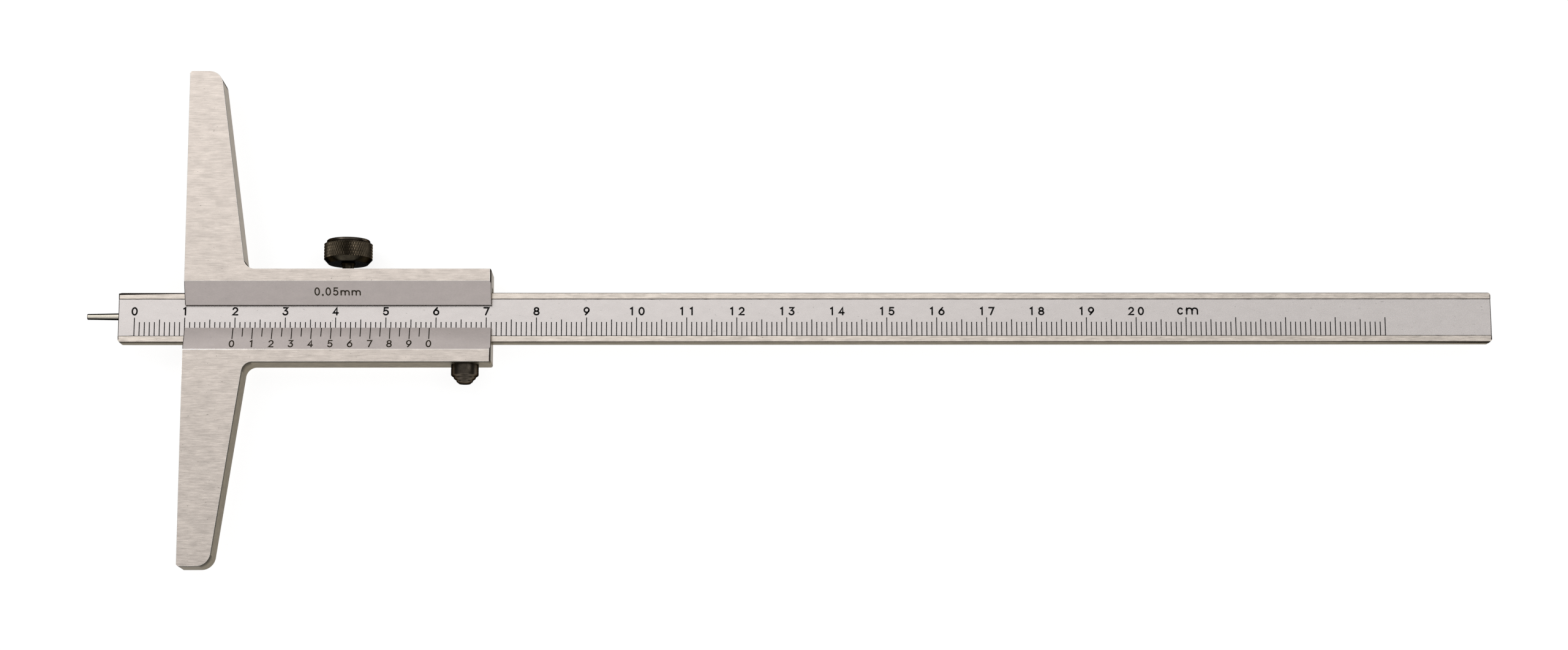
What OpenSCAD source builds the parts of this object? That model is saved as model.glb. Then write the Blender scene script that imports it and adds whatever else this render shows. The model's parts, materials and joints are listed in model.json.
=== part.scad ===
// Vernier depth gauge for depths up to 200 mm, lying on its back.
// X runs along the rail, Y along the bridge, and Z out of the front face. The origin is on the
// measuring face, at the rail's centre line, level with the back face.

/* [Reading] */
// Depth that the scale shows, which is how far the pin stands out of the measuring face
reading = 19.75; // [2:0.05:180]

/* [Bridge] */
// Length of the bridge along its measuring face
bridge_len = 100; // [70:1:150]
// Width that the slanted arms would have at the rail's centre line
bridge_root_w = 13.3; // [11:0.1:20]
// Width of the arms at their tips
bridge_tip_w = 6.3; // [5:0.1:9]
// Radius of the rounded corner at each tip
tip_r = 2.8; // [0.5:0.1:4]
// Chamfer where each tip meets the measuring face
tip_chamfer = 0.35; // [0.1:0.05:1]
// Radius of the fillet between each arm and the slider
fillet_r = 2.2; // [1:0.1:5]

/* [Slider] */
// Length of the slider from the measuring face
slider_len = 61; // [55:0.5:90]
// Radius of the slider's two free corners, seen from the front
free_corner_r = 0.4; // [0.2:0.05:1.5]
// Chamfer along the front edge of the slider's free end
end_chamfer = 0.3; // [0.1:0.05:0.8]
// Metal between the rail and the back face
back_wall = 1.4; // [1:0.05:3]
// Metal between the rail and the lower edge of the slider
bottom_wall = 4.3; // [3.5:0.1:8]
// Metal between the gib slot and the upper edge of the slider
top_wall = 3.25; // [2.5:0.05:8]
// Width of the flat land beside each bevel
land_w = 2.5; // [1:0.05:3.2]
// Depth of the bevels from the lands down to the window
bevel_drop = 1.9; // [1:0.1:3]
// Thickness of the bevelled lips at the edge of the window
lip_edge = 0.6; // [0.3:0.05:1.5]
// Upper edge of the window, above the rail's centre line
window_up = 2.4; // [2:0.05:3]
// Lower edge of the window, below the rail's centre line
window_down = 2.2; // [1.5:0.05:2.5]

/* [Vernier] */
// Distance of the vernier's zero line from the measuring face
vernier_zero = 9.65; // [6:0.05:12]
// Length that the vernier's divisions share
vernier_len = 39; // [19:1:39]
// Number of vernier divisions
vernier_divisions = 20; // [10:10:20]
// Length of the vernier's numbered lines, along the bevel
vernier_long = 2.65; // [1.5:0.05:2.8]
// Length of the vernier's plain lines, along the bevel
vernier_short = 2.1; // [1:0.05:2.4]

/* [Rail] */
// Width of the rail
rail_w = 10; // [9:0.1:14]
// Thickness of the rail
rail_t = 3.5; // [3:0.1:5]
// Clearance between the rail and its channel, on each side
rail_gap = 0.05; // [0.02:0.01:0.1]
// Length of the graduated stretch
scale_len = 250; // [220:10:300]
// Plain metal before the zero line
rail_head = 3.2; // [2:0.1:4.5]
// Plain metal after the last line
rail_tail = 21.4; // [10:0.1:40]
// Width of the raised rib along each edge of the rail
rib_w = 1.2; // [0.8:0.05:1.6]
// Depth of the graduated field below the ribs
field_depth = 0.15; // [0.1:0.01:0.4]
// Radius of the rail's corners
rail_corner_r = 0.6; // [0.3:0.1:1.5]
// Chamfer along the rail's long edges
rail_chamfer = 0.12; // [0.05:0.01:0.3]

/* [Graduations] */
// Width of a graduation line
line_w = 0.2; // [0.1:0.01:0.25]
// Depth of a graduation line
line_depth = 0.07; // [0.03:0.01:0.12]
// Length of the centimetre lines
line_cm = 3.8; // [3:0.05:4]
// Length of the lines half-way between
line_half_cm = 3.4; // [2.5:0.05:3.6]
// Length of the millimetre lines
line_mm = 2.9; // [2:0.05:3]
// Distance that the lines stop short of the rib they stand on
line_foot = 0.05; // [0.02:0.01:0.3]

/* [Depth pin] */
// Diameter of the pin where it leaves the rail
pin_root_d = 1.42; // [1:0.02:2]
// Diameter of the pin at its tip
pin_tip_d = 1.2; // [0.8:0.02:1.6]
// Clearance around the pin in its hole
pin_gap = 0.01; // [0.01:0.01:0.05]
// Depth of the pin's hole in the rail
pin_seat = 8; // [4:0.5:20]
// Height of the pin above the rail's centre line
pin_rise = 0.45; // [-1:0.05:1]

/* [Gib] */
// Thickness of the gib strip
gib_t = 0.8; // [0.5:0.05:1.5]
// Width of the gib strip, front to back
gib_w = 2.4; // [2:0.1:2.8]
// Distance of the gib strip's ends from the ends of its slot
gib_inset = 1.2; // [0.5:0.1:5]
// Gap between the gib strip and the rail with the clamp released
gib_lift = 0.1; // [0.05:0.01:0.2]
// Room above the gib strip in its slot
gib_room = 0.3; // [0.28:0.01:0.5]
// Clearance between the gib strip and the sides of its slot
gib_side_gap = 0.05; // [0.02:0.01:0.1]
// Depth of the dimple that the clamp screw seats in
dimple_depth = 0.2; // [0.1:0.05:0.3]
// Clearance around the screw's point in the dimple
dimple_gap = 0.05; // [0.02:0.01:0.1]

/* [Clamp screw] */
// Distance of the clamp screw from the measuring face
clamp_x = 32; // [20:0.5:45]
// Diameter of the screw's thread
thread_d = 2.5; // [2:0.1:3]
// Clearance around the thread in its hole
thread_gap = 0.05; // [0.02:0.01:0.1]
// Diameter of the screw's flat point
point_d = 1.8; // [1.2:0.1:1.9]
// Width of the countersink at the mouth of the threaded hole
countersink_w = 0.35; // [0.1:0.05:1]
// Diameter of the neck below the knob
neck_d = 2.3; // [1.8:0.1:2.8]
// Diameter of the neck where it flares into the knob
neck_flare_d = 2.9; // [2.5:0.1:5]
// Height of that flare
neck_flare_h = 0.6; // [0.2:0.05:1]
// Gap between the slider and the underside of the knob
knob_gap = 1.7; // [1:0.02:4]
// Diameter of the knob over its knurl
knob_d = 9.75; // [8:0.05:14]
// Height of the knurled band
knurl_h = 3.05; // [2:0.05:8]
// Width of the chamfer below the knurl
knob_chamfer_w = 0.82; // [0.2:0.02:1.5]
// Height of the chamfer below the knurl
knob_chamfer_h = 0.94; // [0.2:0.02:2]
// Width of the sloped shoulder above the knurl
shoulder_w = 0.52; // [0.2:0.02:1.2]
// Height of the sloped shoulder above the knurl
shoulder_h = 0.28; // [0.1:0.02:1]
// Height of the plain rim on top of the knob
rim_h = 0.4; // [0.2:0.05:2]
// Height of the knob's slightly crowned top
crown_h = 0.15; // [0.05:0.05:0.5]

/* [Thumb rest] */
// Distance of the thumb rest from the slider's free end
rest_inset = 5.35; // [4:0.05:12]
// Diameter of the thumb rest
rest_d = 5.5; // [4:0.1:6.5]
// Height of its plain round body
rest_body_h = 1.95; // [1:0.05:5]
// Height of its stepped nose
rest_nose_h = 1.9; // [1:0.05:4]
// Diameter of the flat end of the nose
rest_end_d = 2.2; // [1:0.1:3]
// Number of rings on the nose
rest_rings = 3; // [2:1:5]
// Diameter of the spigot in the slider
spigot_d = 3; // [2:0.1:3.5]
// Length of the spigot in the slider
spigot_len = 2.5; // [1.5:0.1:3]
// Clearance around the spigot
spigot_gap = 0.02; // [0.01:0.01:0.05]

/* [Hidden] */
$fn = 64;

// How far a cutting shape runs past the metal that it cuts
over = 1;

// How far a round runs past the straight edges that it blends into, so that it crosses them cleanly
blend = 0.005;

// Heights from the back face to the front
rail_z0 = back_wall + rail_gap;
rail_z1 = rail_z0 + rail_t;
rail_mid_z = rail_z0 + rail_t / 2;
lip_z = rail_z1 + rail_gap;
foot_z = lip_z + lip_edge;
body_t = foot_z + bevel_drop;

// Heights above the rail's centre line, and depths below it
rail_half = rail_w / 2;
channel_half = rail_half + rail_gap;
gib_y0 = rail_half + gib_lift;
gib_y1 = gib_y0 + gib_t;
slot_y1 = gib_y1 + gib_room;
slider_up = slot_y1 + top_wall;
slider_down = channel_half + bottom_wall;
crest_up = slider_up - land_w;
crest_down = slider_down - land_w;

// The lower bevel carries the vernier, so its slope sets how the lines lie
vernier_bevel_w = crest_down - window_down;
vernier_slope = atan(bevel_drop / vernier_bevel_w);
vernier_step = vernier_len / vernier_divisions;

// The slanted back edge of each arm, as a width at a distance from the centre line
bridge_half = bridge_len / 2;
arm_taper = (bridge_root_w - bridge_tip_w) / bridge_half;
arm_stretch = sqrt(1 + arm_taper * arm_taper);
function arm_w(y) = bridge_root_w - arm_taper * y;

// Places along the rail
main_zero_x = vernier_zero - reading;
rail_x = main_zero_x - rail_head;
rail_len = rail_head + scale_len + rail_tail;
pin_len = vernier_zero - rail_head;
field_half = rail_half - rib_w;
rest_x = slider_len - rest_inset;

thread_hole_d = thread_d + 2 * thread_gap;

// The gib slot is centred on the rail's thickness, and so is the clamp screw
slot_z0 = rail_mid_z - gib_w / 2 - gib_side_gap;
slot_z1 = rail_mid_z + gib_w / 2 + gib_side_gap;

steel = [0.80, 0.77, 0.73];
rail_steel = [0.84, 0.82, 0.80];
spring_steel = [0.62, 0.60, 0.56];
black_oxide = [0.16, 0.14, 0.13];

// One arm above the centre line, joined to a slider whose edge is at slider_edge
module arm_outline(slider_edge) {
    // Centre of the fillet, and its point just inside the slanted edge
    fillet_y = slider_edge + fillet_r - blend;
    fillet_x = arm_w(fillet_y) + (fillet_r - blend) * arm_stretch;
    fillet_end = [fillet_x, fillet_y] - fillet_r / arm_stretch * [1, arm_taper];

    // Centre of the rounded tip, and its point just outside the slanted edge
    round_y = bridge_half - tip_r + blend;
    round_x = arm_w(round_y) - (tip_r - blend) * arm_stretch;
    round_end = [round_x, round_y] + tip_r / arm_stretch * [1, arm_taper];

    difference() {
        polygon([
            [0, 0],
            [arm_w(0), 0],
            [arm_w(bridge_half), bridge_half],
            [tip_chamfer, bridge_half],
            [0, bridge_half - tip_chamfer]
        ]);
        difference() {
            polygon([
                [round_x, round_y],
                round_end,
                [arm_w(bridge_half) + over, bridge_half],
                [arm_w(bridge_half) + over, bridge_half + over],
                [round_x, bridge_half + over]
            ]);
            translate([round_x, round_y]) circle(tip_r);
        }
    }
    difference() {
        polygon([
            [fillet_end.x - over, slider_edge - over],
            [fillet_x, slider_edge - over],
            [fillet_x, fillet_y],
            fillet_end,
            [fillet_end.x - over, fillet_end.y]
        ]);
        translate([fillet_x, fillet_y]) circle(fillet_r);
    }
}

// Outline of the bridge and slider, seen from the front
module bridge_outline() {
    r = free_corner_r;
    translate([0, -slider_down]) square([slider_len - r, slider_up + slider_down]);
    translate([0, r - slider_down]) square([slider_len, slider_up + slider_down - 2 * r]);
    for (y = [r - slider_down, slider_up - r])
        translate([slider_len - r, y]) circle(r);
    arm_outline(slider_up);
    mirror([0, 1]) arm_outline(slider_down);
}

// Section of everything that is open through the slider: the rail's channel, the gib slot above
// it, and the window with its bevelled lips. The first value is Y and the second is Z.
module channel_section() {
    // The bevels carry on past the front face at their own slope
    past_up = (crest_up - window_up) / bevel_drop * over;
    past_down = vernier_bevel_w / bevel_drop * over;
    polygon([
        [-crest_down - past_down, body_t + over],
        [-window_down, foot_z],
        [-window_down, lip_z],
        [-channel_half, lip_z],
        [-channel_half, back_wall],
        [channel_half, back_wall],
        [channel_half, slot_z0],
        [slot_y1, slot_z0],
        [slot_y1, slot_z1],
        [channel_half, slot_z1],
        [channel_half, lip_z],
        [window_up, lip_z],
        [window_up, foot_z],
        [crest_up + past_up, body_t + over]
    ]);
}

// Cuts for the vernier's lines, square to the lower bevel, every second one longer
module vernier_lines() {
    for (i = [0 : vernier_divisions]) {
        length = i % 2 == 0 ? vernier_long : vernier_short;
        translate([vernier_zero + i * vernier_step, -window_down, foot_z])
            rotate([-vernier_slope, 0, 0])
                translate([-line_w / 2, -length, -line_depth])
                    cube([line_w, length + over, line_depth + over]);
    }
}

// Bridge and slider in one piece, with the measuring face at x = 0
module bridge() {
    color(steel)
    difference() {
        linear_extrude(body_t) bridge_outline();
        translate([-over, 0, 0]) rotate([90, 0, 90])
            linear_extrude(slider_len + 2 * over) channel_section();
        vernier_lines();
        translate([slider_len, 0, body_t]) rotate([0, 45, 0])
            cube([end_chamfer * sqrt(2), bridge_len, end_chamfer * sqrt(2)], center = true);
        // Threaded hole of the clamp screw, with a countersink at its mouth
        translate([clamp_x, gib_y1, rail_mid_z]) rotate([-90, 0, 0])
            cylinder(h = gib_room + top_wall + over, d = thread_hole_d);
        translate([clamp_x, slider_up - countersink_w, rail_mid_z]) rotate([-90, 0, 0])
            cylinder(
                h = countersink_w + over,
                d1 = thread_hole_d,
                d2 = thread_hole_d + 2 * (countersink_w + over)
            );
        // Seat of the thumb rest
        translate([rest_x, -slider_down - over, rail_mid_z]) rotate([-90, 0, 0])
            cylinder(h = spigot_len + spigot_gap + over, d = spigot_d + 2 * spigot_gap);
    }
}

// Section of the rail: a flat bar with chamfered edges and a shallow field between two ribs
module rail_section() {
    c = rail_chamfer;
    polygon([
        [-rail_half + c, 0],
        [rail_half - c, 0],
        [rail_half, c],
        [rail_half, rail_t - c],
        [rail_half - c, rail_t],
        [field_half, rail_t],
        [field_half, rail_t - field_depth],
        [-field_half, rail_t - field_depth],
        [-field_half, rail_t],
        [-rail_half + c, rail_t],
        [-rail_half, rail_t - c],
        [-rail_half, c]
    ]);
}

// Outline of the rail from the front, with its four rounded corners
module rail_outline() {
    r = rail_corner_r;
    translate([0, r - rail_half]) square([rail_len, rail_w - 2 * r]);
    translate([r, -rail_half]) square([rail_len - 2 * r, rail_w]);
    for (x = [r, rail_len - r], y = [r - rail_half, rail_half - r])
        translate([x, y]) circle(r);
}

// Cuts for the millimetre lines, standing on the lower rib
module scale_lines() {
    for (mm = [0 : scale_len]) {
        length = mm % 10 == 0 ? line_cm : mm % 5 == 0 ? line_half_cm : line_mm;
        translate([rail_head + mm - line_w / 2, line_foot - field_half, rail_t - field_depth - line_depth])
            cube([line_w, length - line_foot, line_depth + field_depth / 2]);
    }
}

// Graduated rail, which carries the depth pin in its end
module rail() {
    color(rail_steel)
    translate([rail_x, 0, rail_z0])
    difference() {
        intersection() {
            rotate([90, 0, 90]) linear_extrude(rail_len) rail_section();
            linear_extrude(rail_t) rail_outline();
        }
        scale_lines();
        translate([-over, pin_rise, rail_t / 2]) rotate([0, 90, 0])
            cylinder(h = pin_seat + over, d = pin_root_d + 2 * pin_gap);
    }
}

// Slender pin pressed into the end of the rail, a little tapered where it stands out
module depth_pin() {
    tip_edge = 0.1;
    color(spring_steel)
    translate([rail_x, pin_rise, rail_mid_z]) rotate([0, 90, 0])
        rotate_extrude()
            polygon([
                [0, pin_seat],
                [0, -pin_len],
                [pin_tip_d / 2 - tip_edge, -pin_len],
                [pin_tip_d / 2, tip_edge - pin_len],
                [pin_root_d / 2, 0],
                [pin_root_d / 2, pin_seat]
            ]);
}

// Strip that the clamp screw presses on the rail, with a dimple for the screw's point
module gib_strip() {
    color(spring_steel)
    difference() {
        translate([gib_inset, gib_y0, rail_mid_z - gib_w / 2])
            cube([slider_len - 2 * gib_inset, gib_t, gib_w]);
        translate([clamp_x, gib_y1 - dimple_depth, rail_mid_z]) rotate([-90, 0, 0])
            cylinder(
                h = dimple_depth + over,
                d1 = point_d + 2 * dimple_gap,
                d2 = point_d + 2 * (dimple_gap + dimple_depth + over)
            );
    }
}

// Clamp screw turned in one piece. Heights run up from the slider's upper edge.
module clamp_screw() {
    point_h = gib_y1 - dimple_depth - slider_up;
    thread_end_h = -gib_room - gib_lift;
    under_h = knob_gap;
    knurl_h0 = under_h + knob_chamfer_h;
    knurl_h1 = knurl_h0 + knurl_h;
    rim_h0 = knurl_h1 + shoulder_h;
    rim_h1 = rim_h0 + rim_h;
    rim_r = knob_d / 2 - shoulder_w;
    color(black_oxide)
    translate([clamp_x, slider_up, rail_mid_z]) rotate([-90, 0, 0])
        rotate_extrude()
            polygon([
                [0, point_h],
                [point_d / 2, point_h],
                [thread_d / 2, point_h + (thread_d - point_d) / 2],
                [thread_d / 2, thread_end_h - (thread_d - neck_d) / 2],
                [neck_d / 2, thread_end_h],
                [neck_d / 2, under_h - neck_flare_h],
                [neck_flare_d / 2, under_h],
                [knob_d / 2 - knob_chamfer_w, under_h],
                [knob_d / 2, knurl_h0],
                [knob_d / 2, knurl_h1],
                [rim_r, rim_h0],
                [rim_r, rim_h1],
                [rim_r - crown_h, rim_h1 + crown_h],
                [0, rim_h1 + crown_h]
            ]);
}

// Black stud that the thumb bears on, with a stepped round nose. Heights run down from the slider.
module thumb_rest() {
    ring_h = rest_nose_h / rest_rings;
    ring_w = (rest_d - rest_end_d) / 2 / rest_rings;
    // Each ring is a short upright wall and then a slope
    wall_share = 0.3;
    nose = [for (i = [0 : rest_rings - 1]) each [
        [rest_d / 2 - i * ring_w, rest_body_h + i * ring_h + wall_share * ring_h],
        [rest_d / 2 - (i + 1) * ring_w, rest_body_h + (i + 1) * ring_h]
    ]];
    color(black_oxide)
    translate([rest_x, -slider_down, rail_mid_z]) rotate([90, 0, 0])
        rotate_extrude()
            polygon(concat(
                [[0, -spigot_len], [spigot_d / 2, -spigot_len], [spigot_d / 2, 0], [rest_d / 2, 0]],
                nose,
                [[0, rest_body_h + rest_nose_h]]
            ));
}

bridge();
rail();
depth_pin();
gib_strip();
clamp_screw();
thumb_rest();
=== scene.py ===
"""Dresses a vernier depth gauge: ground steel, engraved figures, a knurled screw and studio light."""

import json
import logging
import math
from collections.abc import Callable, Iterable
from dataclasses import dataclass, field, replace
from enum import Enum

import bmesh
import bpy
from mathutils import Euler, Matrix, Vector

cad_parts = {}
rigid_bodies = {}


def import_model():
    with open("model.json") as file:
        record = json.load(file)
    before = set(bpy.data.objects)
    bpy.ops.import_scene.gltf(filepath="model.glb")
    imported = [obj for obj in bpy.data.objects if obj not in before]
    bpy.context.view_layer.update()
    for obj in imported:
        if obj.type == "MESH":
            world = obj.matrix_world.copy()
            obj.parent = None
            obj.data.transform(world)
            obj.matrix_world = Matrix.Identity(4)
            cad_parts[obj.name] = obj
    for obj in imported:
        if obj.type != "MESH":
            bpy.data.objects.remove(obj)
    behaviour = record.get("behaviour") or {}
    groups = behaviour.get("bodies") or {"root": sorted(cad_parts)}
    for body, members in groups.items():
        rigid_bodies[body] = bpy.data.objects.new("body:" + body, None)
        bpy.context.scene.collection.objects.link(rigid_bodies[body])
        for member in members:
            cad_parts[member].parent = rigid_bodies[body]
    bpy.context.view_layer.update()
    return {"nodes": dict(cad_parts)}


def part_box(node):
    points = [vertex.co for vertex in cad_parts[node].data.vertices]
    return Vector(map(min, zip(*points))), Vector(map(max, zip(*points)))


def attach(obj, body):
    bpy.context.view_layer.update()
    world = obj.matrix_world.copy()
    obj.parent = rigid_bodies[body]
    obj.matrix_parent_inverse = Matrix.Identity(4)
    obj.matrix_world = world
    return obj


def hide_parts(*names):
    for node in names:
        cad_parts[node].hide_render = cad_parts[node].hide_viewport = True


MM = 0.001
# Distance under which two places count as one
HAIR = 0.01 * MM
# Cosines over which a face counts as square to an axis, and under which as along it
SQUARE = 0.999
UPRIGHT = 0.01
# Distance and angle under which points are joined and faces count as one before edges are broken
WELD = 0.002 * MM
FLAT_DEG = 0.2

ALONG = Vector((1, 0, 0))
ACROSS = Vector((0, 1, 0))
OUTWARD = Vector((0, 0, 1))

Colour = tuple[float, float, float]
Point = tuple[float, float]
LinePoint = tuple[float, float, float]
Solid = bpy.types.Object
Socket = bpy.types.NodeSocket
Work = bmesh.types.BMesh

log = logging.getLogger("depth_gauge")


def from_screen(colour: Colour) -> Colour:
    """Turns a colour as a screen shows it, from 0 to 255, into the linear one that a shader takes."""
    shares = [channel / 255 for channel in colour]
    return tuple(s / 12.92 if s <= 0.04045 else ((s + 0.055) / 1.055) ** 2.4 for s in shares)


class Grain(Enum):
    """Way that a surface was worked, as the length of a scratch in mm along X, Y and Z."""

    GROUND_ALONG = (1.6, 0.12, 0.12)
    SATIN = (0.2, 0.15, 0.15)
    CLOUDED = (2.6, 1.3, 1.3)
    MILLED = (0.9, 0.4, 0.4)
    TURNED = (0.3, 0.12, 0.3)


class NodeSheet:
    """Node tree of a material or of the world, with short calls to add, set and join its nodes."""

    noise_ends = (0.28, 0.72)
    noise_roughness = 0.62

    def __init__(self, tree: bpy.types.NodeTree) -> None:
        """Takes the tree and empties it."""
        self.tree = tree
        tree.nodes.clear()

    @classmethod
    def of_surface(
        cls, name: str, **inputs: object
    ) -> tuple[bpy.types.Material, "NodeSheet", bpy.types.Node]:
        """Makes a material with one shader on its surface.

        Args:
            name: Name of the material.
            inputs: Values of the shader's sockets, named as for add.

        Returns:
            The material, its node tree and the shader.
        """
        material = bpy.data.materials.new(name)
        material.use_nodes = True
        sheet = cls(material.node_tree)
        shader = sheet.add("ShaderNodeBsdfPrincipled", **inputs)
        output = sheet.add("ShaderNodeOutputMaterial")
        sheet.join(shader.outputs["BSDF"], output.inputs["Surface"])
        return material, sheet, shader

    def add(self, kind: str, **inputs: object) -> bpy.types.Node:
        """Adds a node.

        Args:
            kind: Blender's name of the node type.
            inputs: Values of input sockets, named as the sockets with underscores for spaces.

        Returns:
            The new node.
        """
        node = self.tree.nodes.new(kind)
        for name, value in inputs.items():
            node.inputs[name.replace("_", " ")].default_value = value
        return node

    def join(self, source: Socket, target: Socket) -> None:
        """Links an output socket to an input socket."""
        self.tree.links.new(source, target)

    def scratches(self, grain: Grain, size: float, detail: float) -> Socket:
        """Adds noise that is stretched the way a surface was worked.

        Args:
            grain: Way that the surface was worked.
            size: How many times longer and wider than the grain's own the scratches are.
            detail: How many finer layers of noise are added.

        Returns:
            The noise's value, around one half.
        """
        place = self.add("ShaderNodeTexCoord")
        stretch = self.add("ShaderNodeMapping")
        stretch.inputs["Scale"].default_value = [1 / (length * size * MM) for length in grain.value]
        noise = self.add("ShaderNodeTexNoise", Scale=1.0, Detail=detail, Roughness=self.noise_roughness)
        self.join(place.outputs["Object"], stretch.inputs["Vector"])
        self.join(stretch.outputs["Vector"], noise.inputs["Vector"])
        return noise.outputs["Fac"]

    def own(self, output: str, axis: str) -> Socket:
        """Reads one coordinate in the piece's own space.

        Args:
            output: "Object" for the place or "Normal" for the way that the surface faces.
            axis: X, Y or Z.

        Returns:
            The coordinate, in metres for a place.
        """
        parts = self.add("ShaderNodeSeparateXYZ")
        self.join(self.add("ShaderNodeTexCoord").outputs[output], parts.inputs["Vector"])
        return parts.outputs[axis]

    def combine(self, operation: str, first: Socket, *others: Socket) -> Socket:
        """Works out one value from several, such as their product or sum.

        Args:
            operation: Blender's name of the operation.
            first: First value.
            others: The other values, taken in turn.

        Returns:
            The result.
        """
        for other in others:
            step = self.add("ShaderNodeMath")
            step.operation = operation
            self.join(first, step.inputs[0])
            self.join(other, step.inputs[1])
            first = step.outputs["Value"]
        return first

    def size_of(self, value: Socket) -> Socket:
        """Takes a value without its sign.

        Args:
            value: The value.

        Returns:
            Its size.
        """
        plain = self.add("ShaderNodeMath")
        plain.operation = "ABSOLUTE"
        self.join(value, plain.inputs[0])
        return plain.outputs["Value"]

    def ramp(
        self, value: Socket, start: float, end: float, low: float, high: float, soft: bool = False
    ) -> Socket:
        """Maps a value between two ends onto another range, and holds it there past the ends.

        Args:
            value: The value.
            start: Value that gives low.
            end: Value that gives high, which may be under start.
            low: Result at the start.
            high: Result at the end.
            soft: Whether the result leaves the start and reaches the end gently.

        Returns:
            The result.
        """
        ramp = self.add("ShaderNodeMapRange", From_Min=start, From_Max=end, To_Min=low, To_Max=high)
        if soft:
            ramp.interpolation_type = "SMOOTHSTEP"
        self.join(value, ramp.inputs["Value"])
        return ramp.outputs["Result"]

    def spread(self, noise: Socket, low: float, high: float) -> Socket:
        """Spreads a noise around one half over a range of values."""
        return self.ramp(noise, *self.noise_ends, low, high)

    def vary(self, noise: Socket, share: float) -> Socket:
        """Turns a noise into a factor that varies around one by a share."""
        return self.spread(noise, 1 - share, 1 + share)

    def between(self, share: Socket, low: float, high: float) -> Socket:
        """Maps a value from 0 to 1 onto another range."""
        return self.ramp(share, 0.0, 1.0, low, high)

    def step(self, value: Socket, start: float, end: float) -> Socket:
        """Rises softly from 0 at the start to 1 at the end, which may be the lower of the two."""
        return self.ramp(value, start, end, 0.0, 1.0, soft=True)

    def tint(self, colour: Colour, *shades: Socket) -> Socket:
        """Scales a colour by values that change over the surface.

        Args:
            colour: Colour as a screen shows it.
            shades: Values around one.

        Returns:
            The scaled colour.
        """
        scale = self.add("ShaderNodeVectorMath")
        scale.operation = "SCALE"
        scale.inputs[0].default_value = from_screen(colour)
        self.join(self.combine("MULTIPLY", *shades), scale.inputs["Scale"])
        return scale.outputs["Vector"]


@dataclass(frozen=True)
class Finish:
    """Surface with a name and a colour as a screen shows it, from 0 to 255."""

    name: str
    colour: Colour

    def material(self) -> bpy.types.Material:
        """Makes the finish's material, which each kind of finish does in its own way."""
        raise NotImplementedError


@dataclass(frozen=True, kw_only=True)
class MetalFinish(Finish):
    """Metal surface, whose kinds differ in the marks on it."""

    roughness: float = 0.3
    roughness_spread: Point = (-0.05, 0.07)
    relief: float = 0.003
    relief_share: float = 0.5
    grazing: float = 1.0

    def marks(self, sheet: NodeSheet) -> tuple[Socket, Socket, list[Socket]]:
        """Returns the noises of the relief and the roughness, and the shades, for a kind of metal."""
        raise NotImplementedError

    def material(self) -> bpy.types.Material:
        """Makes the finish's material, with the marks of its kind.

        Returns:
            The new material.
        """
        edge_tint = (self.grazing, self.grazing, self.grazing, 1)
        material, sheet, shader = NodeSheet.of_surface(self.name, Metallic=1.0, Specular_Tint=edge_tint)
        fine, wear, shades = self.marks(sheet)
        roughness = sheet.spread(wear, *(self.roughness + more for more in self.roughness_spread))
        bump = sheet.add("ShaderNodeBump", Strength=self.relief_share, Distance=self.relief * MM)
        sheet.join(fine, bump.inputs["Height"])
        sheet.join(bump.outputs["Normal"], shader.inputs["Normal"])
        sheet.join(roughness, shader.inputs["Roughness"])
        sheet.join(sheet.tint(self.colour, *shades), shader.inputs["Base Color"])
        return material


@dataclass(frozen=True)
class SteelFinish(MetalFinish):
    """Bare stainless steel as one tool left it; some copies carry painted light and painted shade."""

    grain: Grain
    streaks: float = 0.10
    broad_size: float = 2.1
    broad_share: float = 0.6
    clouds: float = 0.05
    nicks: float = 0.0
    nick_size: float = 2.2
    nick_edge: Point = (0.82, 0.87)
    # Heights in mm over which the colour darkens towards the top edge: painted shade
    rim: Point | None = None
    # Range of the normal's Z under which the sides darken: a painted reflection of dark sides
    oily_sides: Point | None = None
    # Share of the colour left in the painted shade
    oil_shade: float = 0.3

    def marks(self, sheet: NodeSheet) -> tuple[Socket, Socket, list[Socket]]:
        """Adds scratches, streaks, clouds, a few nicks, painted shade towards the top edge and painted dark
        sides.

        Args:
            sheet: Node tree of the finish's material.

        Returns:
            The noise of the relief, that of the roughness, and the shades of the colour.
        """
        fine = sheet.scratches(self.grain, size=1.0, detail=3.0)
        shades = [
            sheet.vary(fine, self.streaks),
            sheet.vary(
                sheet.scratches(self.grain, self.broad_size, detail=2.0), self.broad_share * self.streaks
            ),
            sheet.vary(sheet.scratches(Grain.CLOUDED, size=1.0, detail=3.0), self.clouds),
        ]
        if self.nicks:
            pit = sheet.step(sheet.scratches(Grain.SATIN, self.nick_size, detail=0.0), *self.nick_edge)
            shades.append(sheet.between(pit, 1.0, 1 - self.nicks))
        # Painted shade: darker towards the top edge
        if self.rim:
            painted_top_shade = sheet.step(sheet.own("Object", "Z"), *(height * MM for height in self.rim))
            shades.append(sheet.between(painted_top_shade, 1.0, self.oil_shade))
        # Painted reflection: full colour where the surface faces along Z, dark sides elsewhere
        if self.oily_sides:
            painted_front_band = sheet.step(sheet.size_of(sheet.own("Normal", "Z")), *self.oily_sides)
            shades.append(sheet.between(painted_front_band, self.oil_shade, 1.0))
        return fine, fine, shades


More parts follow.
